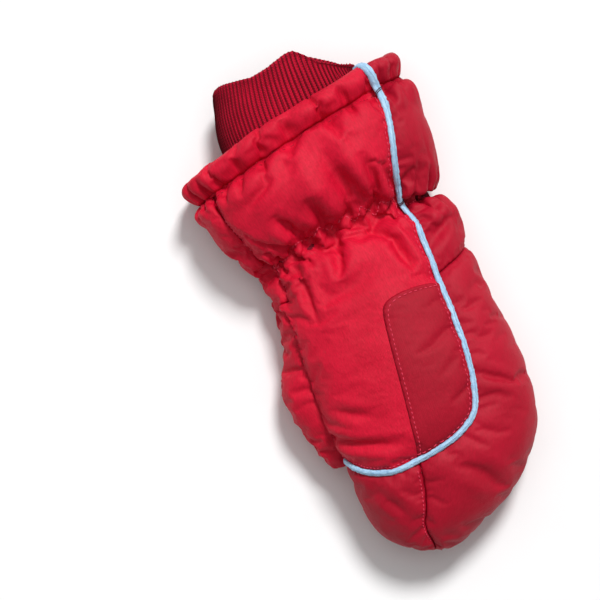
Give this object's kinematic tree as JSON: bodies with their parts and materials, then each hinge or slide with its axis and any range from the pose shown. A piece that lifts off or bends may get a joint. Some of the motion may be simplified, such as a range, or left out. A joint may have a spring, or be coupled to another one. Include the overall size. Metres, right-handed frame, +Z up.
{
  "type": "ski mitten",
  "caption": "Child's insulated ski mitten for the left hand: padded shell with piped seams, gathered wrist, gauntlet with rolled hem, thumb, and ribbed storm cuff.",
  "frame": {"origin": "on the surface that the mitten's palm lies on, under the middle of the whole mitten", "axes": "+Z up through the back of the hand, +Y from the fingertips to the cuff's mouth, +X to the little-finger side; the thumb is on the -X side"},
  "size_m": [0.1437, 0.2579, 0.0518],
  "materials": {
    "shell": "matte brushed polyester shell, bright red",
    "panel": "smoother coated polyester, slightly darker red",
    "piping": "light blue reflective piping",
    "padding": "white polyester wadding",
    "elastic": "woven elastic band",
    "lining": "brushed fleece lining",
    "knit": "crimson one-by-one rib knit"
  },
  "bodies": {
    "hand": {"back_panel_hand": "shell", "palm_panel_hand": "panel", "side_panel_upper": "shell", "side_and_finger_panel": "panel", "fingertip_panel": "panel", "piping_hand": "piping", "knuckle_patch": "panel", "padding_back_hand": "padding", "padding_palm_hand": "padding", "wrist_elastic": "elastic", "lining_hand": "lining"},
    "gauntlet": {"back_panel_cuff": "shell", "thumb_side_gusset": "shell", "palm_panel_cuff": "shell", "side_panel_cuff": "shell", "piping_cuff": "piping", "padding_back_cuff": "padding", "padding_palm_cuff": "padding", "lining_cuff": "lining", "hem_back": "shell", "hem_palm": "shell", "hem_side": "shell"},
    "thumb": {"thumb_back_panel": "shell", "thumb_palm_panel": "panel", "thumb_padding": "padding", "thumb_lining": "lining"},
    "knit_cuff": {"knit_cuff": "knit"}
  },
  "joints": [
    {"name": "wrist_fold", "type": "hinge", "parent": "hand", "child": "gauntlet", "pos_m": [0.0055, 0.0363, 0.015], "axis": [0.9781, 0.2079, 0], "range_deg": [-20, 25]},
    {"name": "thumb_swing", "type": "hinge", "parent": "hand", "child": "thumb", "pos_m": [-0.0271, -0.0043, 0.0155], "axis": [0, 0, -1], "range_deg": [0, 30]},
    {"name": "knit_cuff_pull", "type": "slide", "parent": "gauntlet", "child": "knit_cuff", "axis": [-0.225, 0.9744, 0], "range_m": [-0.01, 0.012]}
  ]
}
